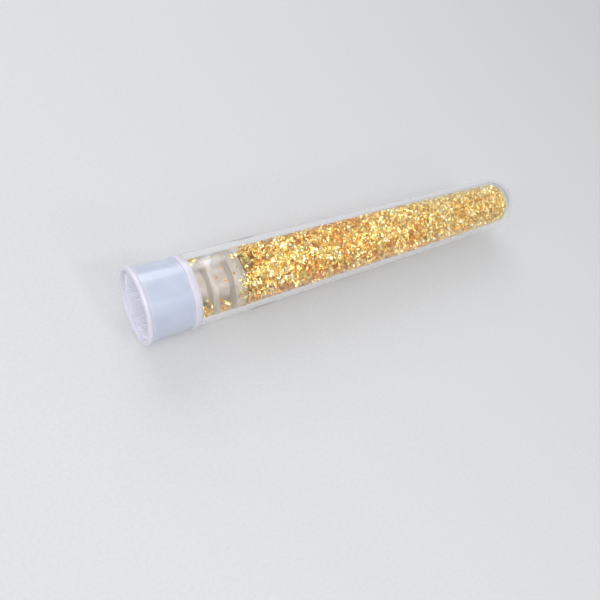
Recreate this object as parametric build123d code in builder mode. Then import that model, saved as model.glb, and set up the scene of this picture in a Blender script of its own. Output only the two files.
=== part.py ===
"""Gold sample vial: a round-bottomed 12 x 75 mm clear plastic tube, its push-in stopper and its gold leaf.

The vial lies on its side. +X runs along the vial from the stopper to the round end, +Z is up, and the
origin is on the resting surface under the middle of the vial. Sizes are in millimetres. In the profiles,
u is the distance from the tube's mouth towards the round end (negative outside the tube), and r is the
distance from the vial's axis.
"""

import os
from math import cos, radians, sin

from build123d import *

# Tube: one moulding with a straight land at the mouth, then a little draft down to a round end.
TUBE_LENGTH = 75.0
MOUTH_R = 6.0
LAND_LENGTH = 15.0
END_R = 5.4
WALL = 1.0
BORE_LAND_LENGTH = 10.0
RIM_ROUNDING = 0.12

# Stopper, the part outside the tube: a hollow thimble with a rounded lip and a bead against the tube.
HEAD_LENGTH = 8.7
LIP_R = 6.4
LIP_WIDTH = 0.7
HEAD_OPEN_R = 6.15
HEAD_BASE_R = 5.83
BEAD_R = 6.08
BEAD_WIDTH = 1.05
BEAD_ROUNDING = 0.22
BEAD_SEAT_ROUNDING = 0.1
BEAD_GAP = 0.02
RECESS_MOUTH_R = 5.65
RECESS_R = 5.4
RECESS_MOUTH_DEPTH = 0.7
RECESS_DEPTH = 7.6
RIB_COUNT = 64
RIB_HEIGHT = 0.25
RIB_WIDTH = 0.22

# Stopper, the part inside the tube: a hollow neck, a thin sealing ring, and a second ring at its end.
BASE_CONE_R = 4.2
BASE_CONE_LENGTH = 0.7
NECK_R = 3.3
NECK_BORE_R = 2.5
RING_1_START = 2.4
RING_1_WIDTH = 0.9
RING_2_START = 6.3
RING_2_WIDTH = 1.2
PLUG_END = 8.6
PLUG_END_R = 4.3
PLUG_FLOOR = 0.9
SEAL_GAP = 0.04

# Gold leaf: the packed fill, and the loose flakes caught between the stopper's rings.
FILL_START = 9.3
FILL_SLOPE = 2.2
FILL_LOW_SIDE = 208.0
FILL_GAP = 0.12
FLAKE_R = 0.42
FLAKE_THICKNESS = 0.06
FLAKE_CLEARANCE = 0.12

OVERALL_LENGTH = HEAD_LENGTH + TUBE_LENGTH
MOUTH_X = HEAD_LENGTH - OVERALL_LENGTH / 2
AXIS_Z = LIP_R
ARC_U = TUBE_LENGTH - END_R
BORE_R = MOUTH_R - WALL
BORE_END_R = END_R - WALL

PROFILE = Plane(origin=(MOUTH_X, 0, AXIS_Z), x_dir=(1, 0, 0), z_dir=(0, -1, 0))
AXIS = Axis((0, 0, AXIS_Z), (1, 0, 0))


def across(u):
    """Plane across the vial at u. Local x is +Y, local y is +Z, and extrusions go towards the round end."""
    return Plane(origin=(MOUTH_X + u, 0, AXIS_Z), x_dir=(0, 1, 0), z_dir=(1, 0, 0))


def round_end(radius, angle):
    """Profile point on the round end's arc of this radius."""
    return (ARC_U + radius * cos(radians(angle)), radius * sin(radians(angle)))


with BuildPart() as tube:
    with BuildSketch(PROFILE):
        with BuildLine():
            Line(round_end(BORE_END_R, 0), round_end(END_R, 0))
            ThreePointArc(round_end(END_R, 0), round_end(END_R, 45), round_end(END_R, 90))
            Polyline(round_end(END_R, 90), (LAND_LENGTH, MOUTH_R), (0, MOUTH_R), (0, BORE_R),
                     (BORE_LAND_LENGTH, BORE_R), round_end(BORE_END_R, 90))
            ThreePointArc(round_end(BORE_END_R, 90), round_end(BORE_END_R, 45), round_end(BORE_END_R, 0))
        make_face()
    revolve(axis=AXIS)
    rim = tube.faces().sort_by(Axis.X)[0]
    fillet(rim.edges(), RIM_ROUNDING)

seal_r = BORE_R - SEAL_GAP
ring_1_end = RING_1_START + RING_1_WIDTH
ring_2_end = RING_2_START + RING_2_WIDTH
lip_u = -HEAD_LENGTH
bead_u = -BEAD_WIDTH - BEAD_GAP
recess_end_u = -HEAD_LENGTH + RECESS_DEPTH

with BuildPart() as stopper:
    with BuildSketch(PROFILE):
        with BuildLine():
            # The lip is a full round on the outside, from the open face to the thimble's wall.
            Line((lip_u, 0), (lip_u, LIP_R - LIP_WIDTH / 2))
            ThreePointArc(
                (lip_u, LIP_R - LIP_WIDTH / 2),
                (lip_u + LIP_WIDTH / 2, LIP_R),
                (lip_u + LIP_WIDTH, HEAD_OPEN_R),
            )
            Line((lip_u + LIP_WIDTH, HEAD_OPEN_R), (bead_u, HEAD_BASE_R))
            # The bead stands a little past the thimble's wall and sits on the tube's rim.
            Line((bead_u, HEAD_BASE_R), (bead_u, BEAD_R - BEAD_ROUNDING))
            RadiusArc((bead_u, BEAD_R - BEAD_ROUNDING), (bead_u + BEAD_ROUNDING, BEAD_R), BEAD_ROUNDING)
            Line((bead_u + BEAD_ROUNDING, BEAD_R), (-BEAD_GAP - BEAD_SEAT_ROUNDING, BEAD_R))
            RadiusArc(
                (-BEAD_GAP - BEAD_SEAT_ROUNDING, BEAD_R),
                (-BEAD_GAP, BEAD_R - BEAD_SEAT_ROUNDING),
                BEAD_SEAT_ROUNDING,
            )
            Line((-BEAD_GAP, BEAD_R - BEAD_SEAT_ROUNDING), (-BEAD_GAP, BASE_CONE_R))
            Polyline((-BEAD_GAP, BASE_CONE_R), (BASE_CONE_LENGTH, NECK_R),
                     (RING_1_START - 0.3, NECK_R), (RING_1_START, seal_r - 0.25),
                     (RING_1_START + RING_1_WIDTH / 3, seal_r), (ring_1_end, seal_r),
                     (ring_1_end + 0.25, NECK_R), (RING_2_START - 0.35, NECK_R),
                     (RING_2_START, seal_r - 0.25), (RING_2_START + RING_2_WIDTH / 3, seal_r),
                     (ring_2_end, seal_r), (PLUG_END, PLUG_END_R), (PLUG_END, 0), (lip_u, 0))
        make_face()
    revolve(axis=AXIS)

    # The thimble's recess: a smooth mouth, then fine ribs along its wall.
    with BuildSketch(across(lip_u)):
        Circle(RECESS_MOUTH_R)
    extrude(amount=RECESS_MOUTH_DEPTH, mode=Mode.SUBTRACT)
    with BuildSketch(across(lip_u + RECESS_MOUTH_DEPTH)):
        Circle(RECESS_R)
        with PolarLocations(RECESS_R, RIB_COUNT):
            Rectangle(2 * RIB_HEIGHT, RIB_WIDTH, mode=Mode.SUBTRACT)
    extrude(amount=RECESS_DEPTH - RECESS_MOUTH_DEPTH, mode=Mode.SUBTRACT)

    # The neck is hollow, from the recess's floor to the closed end of the plug.
    with BuildSketch(across(recess_end_u)):
        Circle(NECK_BORE_R)
    extrude(amount=PLUG_END - PLUG_FLOOR - recess_end_u, mode=Mode.SUBTRACT)

# The packed leaf follows the bore, clear of it by a hair, and its free face slumps to one side, where it
# lies nearest the stopper. Angles about the vial go from +Y over +Z, so 270 is the side the vial rests on.
high_side = radians(FILL_LOW_SIDE - 180)
slump_plane = Plane(PROFILE.origin, x_dir=(1, 0, 0), z_dir=(0, -sin(high_side), cos(high_side)))

with BuildPart() as gold_fill:
    with BuildSketch(PROFILE):
        with BuildLine():
            Polyline(round_end(BORE_END_R - FILL_GAP, 0), (FILL_START, 0), (FILL_START, BORE_R - FILL_GAP),
                     (BORE_LAND_LENGTH, BORE_R - FILL_GAP), round_end(BORE_END_R - FILL_GAP, 90))
            ThreePointArc(
                round_end(BORE_END_R - FILL_GAP, 90),
                round_end(BORE_END_R - FILL_GAP, 45),
                round_end(BORE_END_R - FILL_GAP, 0),
            )
        make_face()
    revolve(axis=AXIS)
    with BuildSketch(slump_plane):
        with BuildLine():
            Polyline((FILL_START, -BORE_R), (FILL_START + FILL_SLOPE, BORE_R), (0, BORE_R), (0, -BORE_R),
                     (FILL_START, -BORE_R))
        make_face()
    extrude(amount=BORE_R, both=True, mode=Mode.SUBTRACT)


def trapped_flakes(start, end, rings, first_angle, last_angle):
    """Loose flakes lying around the neck between two collars, as thin scraps that each have their own tilt."""
    inner = NECK_R + FLAKE_CLEARANCE + FLAKE_R
    outer = BORE_R - FLAKE_CLEARANCE - FLAKE_R
    pitch = 2 * FLAKE_R + FLAKE_CLEARANCE
    with BuildPart() as flakes:
        for ring in range(rings):
            u = start + (end - start) * (ring + 0.5) / rings
            radius = (inner + outer) / 2
            count = int(radians(last_angle - first_angle) * radius / pitch)
            for k in range(count):
                angle = first_angle + (last_angle - first_angle) * (k + 0.5) / count
                out = Vector(0, cos(radians(angle)), sin(radians(angle)))
                around = Vector(0, -sin(radians(angle)), cos(radians(angle)))
                tilt = 25 * sin(2.4 * k + 1.7 * ring)
                lie = Plane(origin=Vector(MOUTH_X + u, 0, AXIS_Z) + out * radius, x_dir=around, z_dir=out)
                with BuildSketch(lie.rotated((tilt, 20 * cos(1.9 * k), 0))):
                    RegularPolygon(FLAKE_R, 6, rotation=17 * k)
                extrude(amount=FLAKE_THICKNESS / 2, both=True)
    return flakes


flakes_behind_bead = trapped_flakes(0.85, RING_1_START - 0.35, 1, 150, 390)
flakes_between_rings = trapped_flakes(ring_1_end + 0.35, RING_2_START - 0.45, 2, 180, 360)

os.makedirs("parts", exist_ok=True)
tube.part.label = "tube"
stopper.part.label = "stopper"
gold_fill.part.label = "gold_fill"
flakes_behind_bead.part.label = "flakes_behind_bead"
flakes_between_rings.part.label = "flakes_between_rings"
export_step(tube.part, "parts/tube.step")
export_step(stopper.part, "parts/stopper.step")
export_step(gold_fill.part, "parts/gold_fill.step")
export_step(flakes_behind_bead.part, "parts/flakes_behind_bead.step")
export_step(flakes_between_rings.part, "parts/flakes_between_rings.step")
for piece in (tube, stopper, gold_fill, flakes_behind_bead, flakes_between_rings):
    box = piece.part.bounding_box()
    print(piece.part.label, len(piece.part.solids()), round(piece.part.volume, 1), box.min, box.max)
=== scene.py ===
import math

import bpy
import numpy as np
from mathutils import Matrix, Vector


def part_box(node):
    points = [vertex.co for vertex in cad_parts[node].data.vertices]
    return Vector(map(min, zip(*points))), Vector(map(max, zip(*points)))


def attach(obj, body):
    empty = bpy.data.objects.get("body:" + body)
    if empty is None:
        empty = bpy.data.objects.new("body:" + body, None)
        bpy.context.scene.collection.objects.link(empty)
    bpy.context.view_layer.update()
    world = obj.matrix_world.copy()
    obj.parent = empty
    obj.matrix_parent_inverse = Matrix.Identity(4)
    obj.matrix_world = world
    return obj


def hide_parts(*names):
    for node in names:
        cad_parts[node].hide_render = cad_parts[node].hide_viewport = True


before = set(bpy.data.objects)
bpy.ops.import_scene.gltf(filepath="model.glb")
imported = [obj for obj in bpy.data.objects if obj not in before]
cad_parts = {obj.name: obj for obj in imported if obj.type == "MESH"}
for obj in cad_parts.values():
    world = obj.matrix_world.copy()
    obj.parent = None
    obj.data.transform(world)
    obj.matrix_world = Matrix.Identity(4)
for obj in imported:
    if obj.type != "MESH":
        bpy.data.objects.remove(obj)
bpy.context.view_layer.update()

# The vial lies along +X, its stopper at -X. Blender's unit is the metre.
MM = 0.001
TUBE_LOW, TUBE_HIGH = (Vector(corner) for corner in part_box("tube"))
MOUTH_X = TUBE_LOW.x
ROUND_END_X = TUBE_HIGH.x
LIP_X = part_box("stopper")[0][0]
AXIS_Z = (TUBE_LOW.z + TUBE_HIGH.z) / 2

# The tube's bore, as moulded: straight near the mouth, then tapering to a round end.
BORE_R = 5.0 * MM
BORE_END_R = 4.4 * MM
BORE_LAND = 10.0 * MM
WALL = 1.0 * MM
BORE_LENGTH = ROUND_END_X - MOUTH_X - WALL
BORE_ARC = BORE_LENGTH - BORE_END_R

# Where the leaf lies, as distances from the tube's mouth.
FILL_START = 9.25 * MM
FRONT_LIMIT = 9.13 * MM
FILL_SLOPE = 2.2 * MM
FILL_LOW_SIDE = math.radians(208)
PLUG_NECK_R = 3.3 * MM
BEAD_GAP_SPAN = (0.55 * MM, 2.2 * MM)
RING_GAP_SPAN = (3.55 * MM, 6.05 * MM)
# Clumps of caught flakes, each (count, side in degrees about the axis, spread in degrees).
BEAD_GAP_CLUMPS = [(90, 180, 12), (70, 210, 20), (12, 35, 16)]
RING_GAP_CLUMPS = [(45, 184, 12), (40, 220, 25), (10, 60, 40)]
DUST_SPAN = (6.5 * MM, 9.9 * MM)
RING_R = 4.96 * MM
WALL_FLAKES = 20000
FRONT_FLAKES = 900
DUST_FLAKES = 520
WALL_LEAF_DEPTH = 0.85 * MM
CORE_DEPTH = 0.75 * MM
CORE_BUMPS = 0.35 * MM
CORE_RINGS = 260
CORE_SEGMENTS = 72
WALL_CLEARANCE = 0.05 * MM
END_CLEARANCE = 0.28 * MM

# The camera, with its angles in degrees.
CAMERA_AZIMUTH = -59.56
CAMERA_ELEVATION = 56.35
CAMERA_ROLL = 36.66
CAMERA_DISTANCE = 100 * MM
CAMERA_AIM = Vector((-16.34 * MM, -7.97 * MM, 8.25 * MM))
CAMERA_LENS_MM = 36.0
SENSOR_MM = 36.0

LIGHT_BOUNCES = 24
GLOSSY_BOUNCES = 16


def bore_radius(u):
    """The bore's radius at distance u from the mouth, for an array of u."""
    taper = np.interp(u, [0.0, BORE_LAND, BORE_ARC], [BORE_R, BORE_R, BORE_END_R])
    inside_end = np.clip(u - BORE_ARC, 0.0, BORE_END_R)
    round_end = np.sqrt(BORE_END_R**2 - inside_end**2)
    return np.where(u > BORE_ARC, round_end, taper)


def wall_clearance(u):
    """How far the leaf stays off the bore's wall. It packs less tightly towards the round end."""
    return np.interp(u, [BORE_ARC - 25 * MM, BORE_ARC], [WALL_CLEARANCE, END_CLEARANCE])


# ---------------------------------------------------------------- shader helpers


class Shader:
    """Builds one node material. A value given for a socket may be a number, a colour or another socket."""

    def __init__(self, name):
        self.material = bpy.data.materials.new(name)
        self.material.use_nodes = True
        self.tree = self.material.node_tree
        self.output = self.tree.nodes["Material Output"]
        self.principled = self.tree.nodes["Principled BSDF"]

    def node(self, kind, inputs=None, **settings):
        made = self.tree.nodes.new(kind)
        for key, value in settings.items():
            setattr(made, key, value)
        self.fill(made, inputs or {})
        return made

    def fill(self, made, inputs):
        for key, value in inputs.items():
            if isinstance(value, bpy.types.NodeSocket):
                self.tree.links.new(value, made.inputs[key])
            else:
                made.inputs[key].default_value = value

    def object_coordinates(self):
        return self.node("ShaderNodeTexCoord").outputs["Object"]

    def noise(self, scale_per_mm, detail=3.0, roughness=0.5, stretch=None):
        vector = self.object_coordinates()
        if stretch:
            vector = self.node("ShaderNodeMapping", {"Vector": vector, "Scale": stretch}).outputs[0]
        made = self.node(
            "ShaderNodeTexNoise",
            {"Vector": vector, "Scale": scale_per_mm / MM, "Detail": detail, "Roughness": roughness},
        )
        return made.outputs["Fac"]

    def ramp(self, factor, stops):
        made = self.node("ShaderNodeValToRGB", {"Fac": factor})
        elements = made.color_ramp.elements
        while len(elements) < len(stops):
            elements.new(0.5)
        for element, (place, colour) in zip(elements, stops):
            element.position = place
            element.color = (*colour, 1.0)
        return made.outputs["Color"]

    def mix(self, factor, first, second):
        """A blend of two colours, each a colour or a socket."""
        made = self.node("ShaderNodeMix", {"Factor": factor}, data_type="RGBA")
        for socket, colour in ((made.inputs[6], first), (made.inputs[7], second)):
            if isinstance(colour, bpy.types.NodeSocket):
                self.tree.links.new(colour, socket)
            else:
                socket.default_value = (*colour, 1.0)
        return made.outputs[2]

    def spread(self, factor, low, high, start=0.3, end=0.7):
        """The factor's span start..end stretched to low..high."""
        made = self.node(
            "ShaderNodeMapRange",
            {"Value": factor, "From Min": start, "From Max": end, "To Min": low, "To Max": high},
        )
        return made.outputs["Result"]

    def bump(self, height, distance, strength=1.0, normal=None):
        inputs = {"Height": height, "Distance": distance, "Strength": strength}
        if normal:
            inputs["Normal"] = normal
        return self.node("ShaderNodeBump", inputs).outputs["Normal"]

    def lamps_pass(self, tint):
        """Lets the lamps' light through the surface, tinted, so that they light what is behind it."""
        ray = self.node("ShaderNodeLightPath")
        clear = self.node("ShaderNodeBsdfTransparent", {"Color": (*tint, 1.0)})
        mix = self.node("ShaderNodeMixShader", {0: ray.outputs["Is Shadow Ray"]})
        self.tree.links.new(self.principled.outputs[0], mix.inputs[1])
        self.tree.links.new(clear.outputs[0], mix.inputs[2])
        self.tree.links.new(mix.outputs[0], self.output.inputs["Surface"])


# ---------------------------------------------------------------- materials


def clear_plastic():
    """Moulded clear polystyrene: faint flow ripples, fine handling scratches and a breath of haze."""
    s = Shader("clear_plastic")
    ripple = s.noise(0.25, 2.0)
    scratch = s.noise(6.0, 2.0, 0.6, stretch=(0.15, 1.0, 1.0))
    smudge = s.noise(0.35, 4.0, 0.6, stretch=(1.0, 0.12, 0.12))
    normal = s.bump(ripple, 0.01 * MM, 0.3)
    normal = s.bump(s.spread(scratch, 0.0, 1.0, 0.66, 0.76), 0.001 * MM, 0.3, normal)
    # 1 on the mouth's rim, which is cut rather than polished.
    place = s.node("ShaderNodeSeparateXYZ", {0: s.object_coordinates()}).outputs["X"]
    rim = s.spread(place, 1.0, 0.0, MOUTH_X + 0.08 * MM, MOUTH_X + 0.16 * MM)
    haze = s.spread(smudge, 0.0, 0.035, 0.35, 0.7)
    rough = s.node("ShaderNodeMath", {0: rim, 1: 0.4, 2: haze}, operation="MULTIPLY_ADD").outputs[0]
    s.fill(
        s.principled,
        {
            "Base Color": s.mix(rim, (0.985, 0.985, 0.99), (0.86, 0.86, 0.90)),
            "Roughness": rough,
            "IOR": 1.55,
            "Transmission Weight": s.spread(rim, 1.0, 0.3, 0.0, 1.0),
            "Normal": normal,
        },
    )
    s.lamps_pass((0.93, 0.93, 0.94))
    return s.material


def milky_plastic():
    """Natural polyethylene: cloudy, bluish and waxy outside, and clearer where the plug's wall is thin."""
    s = Shader("milky_plastic")
    cloud = s.noise(0.3, 3.0)
    scuff = s.noise(5.0, 3.0, 0.65, stretch=(0.3, 1.0, 1.0))
    grain = s.noise(14.0, 2.0)
    normal = s.bump(grain, 0.006 * MM, 0.5)
    normal = s.bump(s.spread(scuff, 0.0, 1.0, 0.6, 0.75), 0.006 * MM, 0.5, normal)
    split = s.node("ShaderNodeSeparateXYZ", {0: s.object_coordinates()}).outputs
    place = split["X"]
    height = s.node("ShaderNodeMath", {0: split["Z"], 1: AXIS_Z}, operation="SUBTRACT").outputs[0]
    from_axis = s.node("ShaderNodeCombineXYZ", {"Y": split["Y"], "Z": height}).outputs[0]
    radius = s.node("ShaderNodeVectorMath", {0: from_axis}, operation="LENGTH").outputs["Value"]
    inside = s.spread(radius, 1.0, 0.0, 5.6 * MM, 5.7 * MM)
    # 0 on the head, 1 on the plug.
    plug = s.spread(place, 0.0, 1.0, MOUTH_X - 0.4 * MM, MOUTH_X + 0.8 * MM)
    # 1 at the lip and at the bead, where the wall is thickest.
    lip = s.spread(place, 1.0, 0.0, LIP_X + 0.3 * MM, LIP_X + 1.4 * MM)
    bead = s.spread(place, 0.0, 1.0, MOUTH_X - 1.5 * MM, MOUTH_X - 0.9 * MM)
    thick = s.node("ShaderNodeMath", {0: lip, 1: bead}, operation="MAXIMUM").outputs[0]
    blue = s.ramp(cloud, [(0.3, (0.53, 0.58, 0.69)), (0.7, (0.60, 0.65, 0.74))])
    head = s.mix(thick, blue, (0.72, 0.69, 0.78))
    head = s.mix(inside, head, (0.84, 0.83, 0.90))
    s.fill(
        s.principled,
        {
            # Painted reflection: the plug's warm beige stands in for the gold leaf's light reflected onto
            # it.
            "Base Color": s.mix(plug, head, (0.70, 0.63, 0.55)),
            "Roughness": s.spread(scuff, 0.28, 0.42, 0.4, 0.75),
            "IOR": 1.5,
            "Subsurface Weight": 0.8,
            "Subsurface Radius": (1.0, 1.1, 1.25),
            "Subsurface Scale": 0.6 * MM,
            "Transmission Weight": s.spread(plug, 0.12, 0.6, 0.0, 1.0),
            "Coat Weight": 0.6,
            "Coat Roughness": 0.06,
            "Normal": normal,
        },
    )
    s.lamps_pass((0.55, 0.57, 0.6))
    return s.material


GOLD_STOPS = [
    (0.0, (0.88, 0.44, 0.07)),
    (0.2, (0.97, 0.60, 0.13)),
    (0.45, (1.0, 0.78, 0.23)),
    (0.8, (1.0, 0.87, 0.36)),
    (1.0, (1.0, 0.96, 0.62)),
]


def gold_leaf():
    """Crumpled gold leaf: every flake has its own shade, its own polish and fine creases."""
    s = Shader("gold_leaf")
    flake = s.node("ShaderNodeNewGeometry").outputs["Random Per Island"]
    patch = s.noise(0.22, 2.0)
    shade = s.node(
        "ShaderNodeMath", {0: flake, 1: s.spread(patch, -0.3, 0.3, 0.35, 0.65)}, operation="ADD"
    ).outputs[0]
    # Painted light: the leaf is made paler towards the round end, standing in for light falling on that
    # end.
    place = s.node("ShaderNodeSeparateXYZ", {0: s.object_coordinates()}).outputs["X"]
    painted_end_light = s.spread(place, 0.0, 0.5, 5 * MM, ROUND_END_X)
    shade = s.node("ShaderNodeMath", {0: shade, 1: painted_end_light}, operation="ADD").outputs[0]
    crease = s.noise(5.0, 3.0, 0.6)
    s.fill(
        s.principled,
        {
            "Base Color": s.ramp(shade, GOLD_STOPS),
            "Metallic": 1.0,
            "Roughness": s.spread(crease, 0.16, 0.42, 0.35, 0.7),
            "Normal": s.bump(crease, 0.05 * MM, 0.8),
        },
    )
    return s.material


def leaf_depth():
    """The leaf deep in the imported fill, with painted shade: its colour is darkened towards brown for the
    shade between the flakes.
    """
    s = Shader("leaf_depth")
    crumple = s.noise(2.2, 4.0, 0.65)
    s.fill(
        s.principled,
        {
            "Base Color": s.ramp(crumple, [(0.3, (0.55, 0.27, 0.03)), (0.7, (1.0, 0.70, 0.18))]),
            "Metallic": 1.0,
            "Roughness": s.spread(crumple, 0.3, 0.55),
            "Normal": s.bump(crumple, 0.25 * MM, 1.0),
        },
    )
    return s.material


def floor_paper():
    s = Shader("floor_paper")
    grain = s.noise(2.0, 4.0, 0.6)
    s.fill(
        s.principled,
        {
            "Base Color": s.ramp(grain, [(0.3, (0.60, 0.60, 0.60)), (0.7, (0.64, 0.64, 0.64))]),
            "Roughness": 0.8,
            "Normal": s.bump(grain, 0.02 * MM, 0.3),
        },
    )
    return s.material


# ---------------------------------------------------------------- leaf geometry

# One flake is a 3 x 3 grid of points, bent and crumpled, with a ragged outline.
GRID = np.array([(a, b) for b in (-1.0, 0.0, 1.0) for a in (-1.0, 0.0, 1.0)])
GRID_QUADS = np.array([(0, 1, 4, 3), (1, 2, 5, 4), (3, 4, 7, 6), (4, 5, 8, 7)])


def crumpled_flakes(name, centres, outward, sizes, tilt, crumple, rng, inner_limit=0.0, slack=0.0):
    """One mesh of many separate flakes. Each lies across its outward direction, leaning by about tilt
    radians, and nothing reaches past the bore's wall or inside inner_limit of the axis. A slack lets the
    flakes lie that much nearer the wall than usual."""
    count = len(centres)
    lean = outward + rng.normal(0.0, tilt, (count, 3))
    normal = lean / np.linalg.norm(lean, axis=1, keepdims=True)
    guide = rng.normal(0.0, 1.0, (count, 3))
    side = np.cross(normal, guide)
    side /= np.linalg.norm(side, axis=1, keepdims=True)
    across = np.cross(normal, side)
    stretch = rng.uniform(0.55, 1.0, (count, 1))
    ragged = rng.uniform(0.55, 1.25, (count, 9, 1))
    outline = GRID[None] * ragged + rng.normal(0.0, 0.14, (count, 9, 2))
    lift = rng.normal(0.0, crumple, (count, 9))
    lift += rng.normal(0.0, 0.35, (count, 1)) * GRID[None, :, 0] ** 2
    half = sizes[:, None] / 2
    points = (
        centres[:, None]
        + side[:, None] * (outline[:, :, :1] * half[:, :, None])
        + across[:, None] * (outline[:, :, 1:] * (half * stretch)[:, :, None])
        + normal[:, None] * (lift * half)[:, :, None]
    ).reshape(-1, 3)
    points[:, 0] = np.minimum(points[:, 0], BORE_LENGTH - END_CLEARANCE)
    u = points[:, 0]
    clearance = wall_clearance(u)
    limit = bore_radius(np.maximum(u + clearance * (u > BORE_ARC), 0.0)) + (slack - clearance)
    reach = np.maximum(np.linalg.norm(points[:, 1:], axis=1), 1e-9)
    factor = np.clip(reach, inner_limit, np.maximum(limit, 0.1 * MM)) / reach
    points[:, 1:] *= factor[:, None]
    points += np.array([MOUTH_X, 0.0, AXIS_Z])
    faces = (GRID_QUADS[None] + 9 * np.arange(count)[:, None, None]).reshape(-1, 4)
    mesh = bpy.data.meshes.new(name)
    mesh.from_pydata(points.tolist(), [], faces.tolist())
    mesh.validate()
    made = bpy.data.objects.new(name, mesh)
    bpy.context.collection.objects.link(made)
    return made


def hold_between(piece, low, high):
    """Keeps a piece's points between two distances from the mouth."""
    for vertex in piece.data.vertices:
        vertex.co.x = min(max(vertex.co.x, MOUTH_X + low), MOUTH_X + high)


def wall_places(count, start, end, depth, rng):
    """Places just inside the bore from start to end, with the direction out to the wall at each."""
    length = end - start
    u = start + length * rng.random(count)
    angle = rng.uniform(0.0, 2 * math.pi, count)
    inset = wall_clearance(u) + depth * rng.random(count) ** 1.5
    cylinder = u < BORE_ARC
    u_arc = np.maximum(u - BORE_ARC, 0.0) / max(end - BORE_ARC, 1e-9)
    polar = np.arccos(np.clip(u_arc, 0.0, 1.0))
    end_r = BORE_END_R - inset
    radius = np.where(cylinder, bore_radius(np.minimum(u, BORE_ARC)) - inset, end_r * np.sin(polar))
    x = np.where(cylinder, u, BORE_ARC + end_r * np.cos(polar))
    out_x = np.where(cylinder, 0.0, np.cos(polar))
    out_r = np.where(cylinder, 1.0, np.sin(polar))
    around = np.stack([np.cos(angle), np.sin(angle)], axis=1)
    centres = np.column_stack([x, around * radius[:, None]])
    outward = np.column_stack([out_x, around * out_r[:, None]])
    return centres, outward


def fill_front(y, z):
    """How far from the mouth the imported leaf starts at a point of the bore. It slumps to its low side."""
    lowness = (y * math.cos(FILL_LOW_SIDE) + z * math.sin(FILL_LOW_SIDE)) / BORE_R
    ragged = 0.4 * MM * np.sin(y / (0.9 * MM) + 1.0) + 0.3 * MM * np.sin(z / (0.6 * MM))
    return FILL_START + np.maximum(FILL_SLOPE * (1 - lowness) / 2 + ragged, 0.0)


def front_places(count, rng):
    """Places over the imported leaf's free face, which looks towards the stopper."""
    radius = (BORE_R - 3 * WALL_CLEARANCE) * np.sqrt(rng.random(count))
    angle = rng.uniform(0.0, 2 * math.pi, count)
    y, z = radius * np.cos(angle), radius * np.sin(angle)
    x = fill_front(y, z) + 0.5 * MM * rng.random(count)
    outward = np.tile([-1.0, 0.0, 0.2], (count, 1))
    return np.column_stack([x, y, z]), outward


def gap_places(count, span, centre_deg, spread_deg, rng):
    """Places in the gap around the stopper's neck, gathered about one side."""
    u = rng.uniform(*span, count)
    angle = np.radians(rng.normal(centre_deg, spread_deg, count))
    radius = BORE_R - WALL_CLEARANCE - 1.1 * MM * rng.random(count) ** 1.3
    around = np.stack([np.cos(angle), np.sin(angle)], axis=1)
    return np.column_stack([u, around * radius[:, None]]), np.column_stack([np.zeros(count), around])


def flake_sizes(count, low, high, rng):
    return rng.uniform(0.0, 1.0, count) ** 1.4 * (high - low) + low


def make_fill():
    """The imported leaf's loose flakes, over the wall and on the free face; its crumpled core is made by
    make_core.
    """
    rng = np.random.default_rng(11)
    # The outer flakes, pressed against the wall, and the free face's.
    centres, outward = wall_places(WALL_FLAKES, FILL_START, BORE_LENGTH, WALL_LEAF_DEPTH, rng)
    kept = centres[:, 0] > fill_front(centres[:, 1], centres[:, 2])
    # The leaf gets finer towards the round end.
    finer = np.interp(centres[:, 0], [FILL_START, BORE_LENGTH], [1.15, 0.85])
    sizes = flake_sizes(WALL_FLAKES, 0.24 * MM, 0.8 * MM, rng) * finer
    wall = crumpled_flakes("wall_leaf", centres[kept], outward[kept], sizes[kept], 0.55, 0.22, rng)
    centres, outward = front_places(FRONT_FLAKES, rng)
    sizes = flake_sizes(FRONT_FLAKES, 0.3 * MM, 1.0 * MM, rng)
    face = crumpled_flakes("front_leaf", centres, outward, sizes, 0.6, 0.25, rng)
    # Clear of the stopper's nose when the leaf has shifted towards it.
    hold_between(face, FRONT_LIMIT, BORE_LENGTH)
    return wall, face


def make_core():
    """The dense middle of the fill, as one closed crumpled body under the flakes."""
    rng = np.random.default_rng(12)
    u = np.linspace(FILL_START + 0.9 * MM, BORE_LENGTH - CORE_DEPTH, CORE_RINGS)
    radius = bore_radius(np.minimum(u + CORE_DEPTH * (u > BORE_ARC), BORE_LENGTH)) - CORE_DEPTH
    radius = np.maximum(radius, 0.05 * MM)
    angle = np.linspace(0.0, 2 * math.pi, CORE_SEGMENTS, endpoint=False)
    bumps = rng.normal(0.0, 1.0, (CORE_RINGS, CORE_SEGMENTS))
    for _ in range(2):
        bumps = (bumps + np.roll(bumps, 1, 1) + np.roll(bumps, -1, 1)) / 3
        bumps[1:-1] = (bumps[:-2] + bumps[1:-1] + bumps[2:]) / 3
    reach = np.clip(radius[:, None] + CORE_BUMPS * bumps, 0.05 * MM, None)
    slump = FILL_SLOPE * (1 - np.cos(angle - FILL_LOW_SIDE))[None] / 2
    start_lag = slump * np.clip(1 - (u - u[0]) / (4 * MM), 0, 1)[:, None]
    x = u[:, None] + start_lag
    points = np.stack([x, reach * np.cos(angle), reach * np.sin(angle)], axis=2).reshape(-1, 3)
    points += np.array([MOUTH_X, 0.0, AXIS_Z])
    faces = []
    for ring in range(CORE_RINGS - 1):
        for k in range(CORE_SEGMENTS):
            a = ring * CORE_SEGMENTS + k
            b = ring * CORE_SEGMENTS + (k + 1) % CORE_SEGMENTS
            faces.append((a, b, b + CORE_SEGMENTS, a + CORE_SEGMENTS))
    faces.append(tuple(reversed(range(CORE_SEGMENTS))))
    faces.append(tuple(range((CORE_RINGS - 1) * CORE_SEGMENTS, CORE_RINGS * CORE_SEGMENTS)))
    mesh = bpy.data.meshes.new("leaf_core")
    mesh.from_pydata(points.tolist(), [], faces)
    made = bpy.data.objects.new("leaf_core", mesh)
    bpy.context.collection.objects.link(made)
    return made


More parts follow.
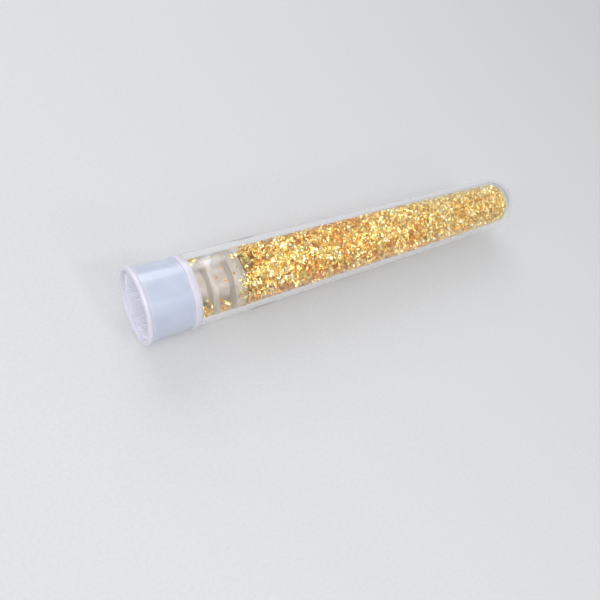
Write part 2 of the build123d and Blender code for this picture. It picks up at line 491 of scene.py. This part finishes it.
def make_gap_leaf(name, span, clumps, seed):
    """Flakes caught around the neck, in clumps."""
    rng = np.random.default_rng(seed)
    places = [gap_places(count, span, side, spread, rng) for count, side, spread in clumps]
    centres = np.concatenate([p[0] for p in places])
    outward = np.concatenate([p[1] for p in places])
    sizes = flake_sizes(len(centres), 0.3 * MM, 0.9 * MM, rng)
    made = crumpled_flakes(name, centres, outward, sizes, 0.45, 0.25, rng, PLUG_NECK_R + 0.1 * MM)
    hold_between(made, span[0] - 0.2 * MM, span[1] + 0.2 * MM)
    return made


def make_wall_dust():
    """Specks of leaf that cling to the bore around the plug's end, most of them near the fill and on the
    low side. They lie flat, outside the ring's reach."""
    rng = np.random.default_rng(23)
    u = DUST_SPAN[1] - (DUST_SPAN[1] - DUST_SPAN[0]) * rng.random(DUST_FLAKES) ** 1.6
    low = rng.random(DUST_FLAKES) < 0.5
    gathered = rng.normal(FILL_LOW_SIDE - 0.4, 0.5, DUST_FLAKES)
    angle = np.where(low, gathered, rng.uniform(0.0, 2 * math.pi, DUST_FLAKES))
    around = np.stack([np.cos(angle), np.sin(angle)], axis=1)
    centres = np.column_stack([u, around * BORE_R])
    outward = np.column_stack([np.zeros(DUST_FLAKES), around])
    sizes = flake_sizes(DUST_FLAKES, 0.12 * MM, 0.55 * MM, rng)
    return crumpled_flakes(
        "wall_dust", centres, outward, sizes, 0.1, 0.1, rng, RING_R + 0.01 * MM, WALL_CLEARANCE - 0.015 * MM
    )


# ---------------------------------------------------------------- the object

plastic = clear_plastic()
milky = milky_plastic()
leaf = gold_leaf()
depth = leaf_depth()

for node, material in (("tube", plastic), ("stopper", milky)):
    for material_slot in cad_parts[node].material_slots:
        material_slot.material = material

wall_leaf, front_leaf = make_fill()
core = make_core()
for piece, material in ((wall_leaf, leaf), (front_leaf, leaf), (core, depth)):
    piece.data.materials.append(material)
    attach(piece, "leaf")
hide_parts("gold_fill")

bead_leaf = make_gap_leaf("bead_gap_leaf", BEAD_GAP_SPAN, BEAD_GAP_CLUMPS, 21)
ring_leaf = make_gap_leaf("ring_gap_leaf", RING_GAP_SPAN, RING_GAP_CLUMPS, 22)
dust = make_wall_dust()
dust.data.materials.append(leaf)
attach(dust, "vial")
for piece, node in ((bead_leaf, "flakes_behind_bead"), (ring_leaf, "flakes_between_rings")):
    piece.data.materials.append(leaf)
    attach(piece, "stopper")
    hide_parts(node)

# ---------------------------------------------------------------- floor, light and camera


def make_floor():
    bpy.ops.mesh.primitive_plane_add(size=4.0, location=(0.0, 0.0, 0.0))
    floor = bpy.context.object
    floor.name = "floor"
    floor.data.materials.append(floor_paper())


def softbox(name, place, aim, size, watts, colour=(1.0, 1.0, 1.0)):
    light = bpy.data.lights.new(name, "AREA")
    light.shape = "RECTANGLE"
    light.size, light.size_y = size
    light.energy = watts
    light.color = colour
    lamp = bpy.data.objects.new(name, light)
    lamp.location = place
    lamp.rotation_euler = (Vector(aim) - Vector(place)).to_track_quat("-Z", "Y").to_euler()
    bpy.context.collection.objects.link(lamp)


def make_camera():
    azimuth, elevation, roll = (math.radians(a) for a in (CAMERA_AZIMUTH, CAMERA_ELEVATION, CAMERA_ROLL))
    level = Vector((math.cos(azimuth), math.sin(azimuth), 0.0))
    back = Vector((
        math.sin(azimuth) * math.cos(elevation),
        -math.cos(azimuth) * math.cos(elevation),
        math.sin(elevation),
    ))
    upright = back.cross(level)
    right = level * math.cos(roll) + upright * math.sin(roll)
    up = back.cross(right)
    data = bpy.data.cameras.new("camera")
    data.lens = CAMERA_LENS_MM
    data.sensor_width = SENSOR_MM
    data.clip_start = 1 * MM
    data.clip_end = 10.0
    camera = bpy.data.objects.new("camera", data)
    place = CAMERA_AIM + back * CAMERA_DISTANCE
    camera.matrix_world = Matrix.Translation(place) @ Matrix((right, up, back)).transposed().to_4x4()
    bpy.context.collection.objects.link(camera)
    bpy.context.scene.camera = camera


make_floor()
make_camera()
middle = (0.0, 0.0, AXIS_Z)
softbox("key", (-0.16, -0.12, 0.36), middle, (0.16, 0.12), 0.70)
softbox("far_side", (0.0, 0.34, 0.26), middle, (0.30, 0.24), 0.6, (0.97, 0.98, 1.0))
softbox("stopper_side", (-0.36, 0.02, 0.16), middle, (0.16, 0.16), 0.22)
softbox("small_lamp_front", (0.07, -0.238, 0.309), middle, (0.045, 0.045), 0.16)
softbox("small_lamp_low", (0.06, -0.338, 0.195), middle, (0.035, 0.035), 0.10)

world = bpy.data.worlds.new("world")
world.use_nodes = True
world.node_tree.nodes["Background"].inputs["Color"].default_value = (0.93, 0.95, 1.0, 1.0)
world.node_tree.nodes["Background"].inputs["Strength"].default_value = 0.5
scene = bpy.context.scene
scene.world = world
scene.view_settings.view_transform = "Standard"
scene.cycles.use_denoising = True
# Light crosses many clear and mirror-bright surfaces inside the vial.
scene.cycles.max_bounces = LIGHT_BOUNCES
scene.cycles.glossy_bounces = GLOSSY_BOUNCES
scene.cycles.transmission_bounces = LIGHT_BOUNCES
scene.cycles.transparent_max_bounces = LIGHT_BOUNCES
